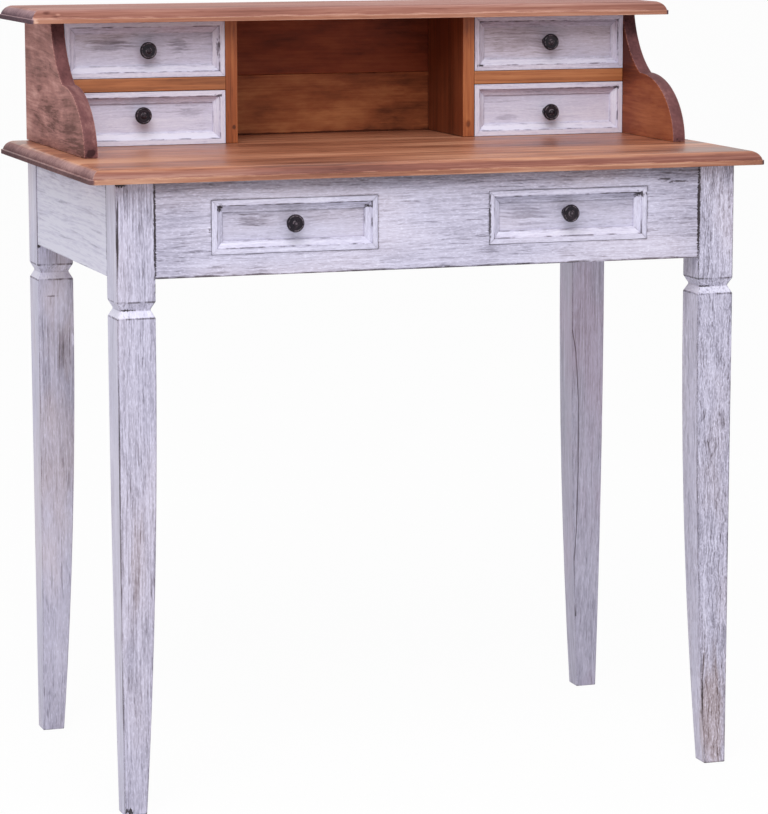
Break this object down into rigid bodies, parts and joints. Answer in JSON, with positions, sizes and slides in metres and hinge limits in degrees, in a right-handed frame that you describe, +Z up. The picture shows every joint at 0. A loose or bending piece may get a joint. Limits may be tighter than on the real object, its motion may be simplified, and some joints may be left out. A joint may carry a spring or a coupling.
{
  "type": "writing desk with hutch",
  "caption": "Small writing desk with a low hutch: tapered square legs, apron drawers with mitred recessed fronts, moulded tops, ogee side panels, pigeonhole and small drawers with knobs.",
  "frame": {"origin": "on the floor below the middle of the desk top", "axes": "+X to the right seen from the front, +Y to the back, +Z up; the drawer fronts face -Y"},
  "size_m": [0.913, 0.53, 1.015],
  "materials": {
    "whitewashed_wood": "thin whitewash worn at the edges, grain showing",
    "brown_wood": "satin varnish, worn lighter at the arrises",
    "plain_wood": "bare sawn wood",
    "iron": "dark cast iron, waxed",
    "steel": "plain steel"
  },
  "bodies": {
    "frame": {"corner_blocks": "plain_wood", "desk_top": "brown_wood", "drawer_runner_left_inner": "plain_wood", "drawer_runner_left_outer": "plain_wood", "drawer_runner_right_inner": "plain_wood", "drawer_runner_right_outer": "plain_wood", "front_apron": "whitewashed_wood", "hutch_back_lower": "brown_wood", "hutch_back_upper": "brown_wood", "hutch_divider_left": "brown_wood", "hutch_divider_right": "brown_wood", "hutch_shelf_left": "brown_wood", "hutch_shelf_right": "brown_wood", "hutch_side_left": "brown_wood", "hutch_side_right": "brown_wood", "hutch_top": "brown_wood", "left_apron": "whitewashed_wood", "leg_front_left": "whitewashed_wood", "leg_front_right": "whitewashed_wood", "leg_rear_left": "whitewashed_wood", "leg_rear_right": "whitewashed_wood", "rear_apron": "whitewashed_wood", "right_apron": "whitewashed_wood", "top_screws": "steel"},
    "desk_drawer_left": {"desk_drawer_left_back": "plain_wood", "desk_drawer_left_bottom": "plain_wood", "desk_drawer_left_front": "whitewashed_wood", "desk_drawer_left_knob": "iron", "desk_drawer_left_moulding": "whitewashed_wood", "desk_drawer_left_sides": "plain_wood"},
    "desk_drawer_right": {"desk_drawer_right_back": "plain_wood", "desk_drawer_right_bottom": "plain_wood", "desk_drawer_right_front": "whitewashed_wood", "desk_drawer_right_knob": "iron", "desk_drawer_right_moulding": "whitewashed_wood", "desk_drawer_right_sides": "plain_wood"},
    "hutch_drawer_upper_left": {"hutch_drawer_upper_left_back": "plain_wood", "hutch_drawer_upper_left_bottom": "plain_wood", "hutch_drawer_upper_left_front": "whitewashed_wood", "hutch_drawer_upper_left_knob": "iron", "hutch_drawer_upper_left_moulding": "whitewashed_wood", "hutch_drawer_upper_left_sides": "plain_wood"},
    "hutch_drawer_upper_right": {"hutch_drawer_upper_right_back": "plain_wood", "hutch_drawer_upper_right_bottom": "plain_wood", "hutch_drawer_upper_right_front": "whitewashed_wood", "hutch_drawer_upper_right_knob": "iron", "hutch_drawer_upper_right_moulding": "whitewashed_wood", "hutch_drawer_upper_right_sides": "plain_wood"},
    "hutch_drawer_lower_left": {"hutch_drawer_lower_left_back": "plain_wood", "hutch_drawer_lower_left_bottom": "plain_wood", "hutch_drawer_lower_left_front": "whitewashed_wood", "hutch_drawer_lower_left_knob": "iron", "hutch_drawer_lower_left_moulding": "whitewashed_wood", "hutch_drawer_lower_left_sides": "plain_wood"},
    "hutch_drawer_lower_right": {"hutch_drawer_lower_right_back": "plain_wood", "hutch_drawer_lower_right_bottom": "plain_wood", "hutch_drawer_lower_right_front": "whitewashed_wood", "hutch_drawer_lower_right_knob": "iron", "hutch_drawer_lower_right_moulding": "whitewashed_wood", "hutch_drawer_lower_right_sides": "plain_wood"}
  },
  "joints": [
    {"name": "desk_drawer_left_slide", "type": "slide", "parent": "frame", "child": "desk_drawer_left", "axis": [0, -1, 0], "range_m": [0, 0.24]},
    {"name": "desk_drawer_right_slide", "type": "slide", "parent": "frame", "child": "desk_drawer_right", "axis": [0, -1, 0], "range_m": [0, 0.24]},
    {"name": "hutch_drawer_upper_left_slide", "type": "slide", "parent": "frame", "child": "hutch_drawer_upper_left", "axis": [0, -1, 0], "range_m": [0, 0.09]},
    {"name": "hutch_drawer_upper_right_slide", "type": "slide", "parent": "frame", "child": "hutch_drawer_upper_right", "axis": [0, -1, 0], "range_m": [0, 0.09]},
    {"name": "hutch_drawer_lower_left_slide", "type": "slide", "parent": "frame", "child": "hutch_drawer_lower_left", "axis": [0, -1, 0], "range_m": [0, 0.09]},
    {"name": "hutch_drawer_lower_right_slide", "type": "slide", "parent": "frame", "child": "hutch_drawer_lower_right", "axis": [0, -1, 0], "range_m": [0, 0.09]}
  ]
}
